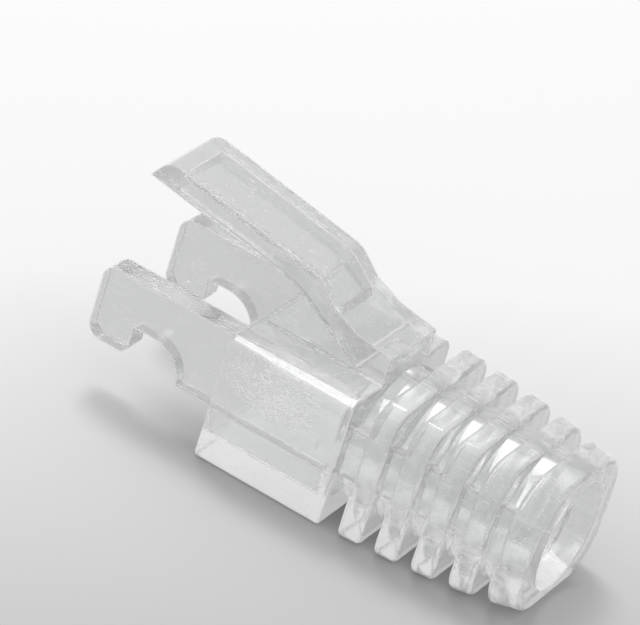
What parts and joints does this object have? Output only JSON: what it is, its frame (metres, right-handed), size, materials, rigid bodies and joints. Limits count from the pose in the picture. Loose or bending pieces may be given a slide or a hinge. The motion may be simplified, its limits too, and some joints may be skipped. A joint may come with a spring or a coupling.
{
  "type": "rj45 strain relief boot",
  "caption": "Clear soft moulded boot for a modular plug: plug collar, two hooked arms, latch guard and a ringed flexible tail with a cable bore.",
  "frame": {"origin": "centre of the cable bore at its rear mouth", "axes": "+Y along the bore to the plug, +Z to the latch guard, +X to the right seen from the cable end"},
  "size_m": [0.0116, 0.0302, 0.0146],
  "materials": {
    "clear_pvc": "water-clear soft PVC, glossy as moulded, with fine flow streaks"
  },
  "bodies": {
    "root": {"boot": "clear_pvc"}
  },
  "joints": []
}
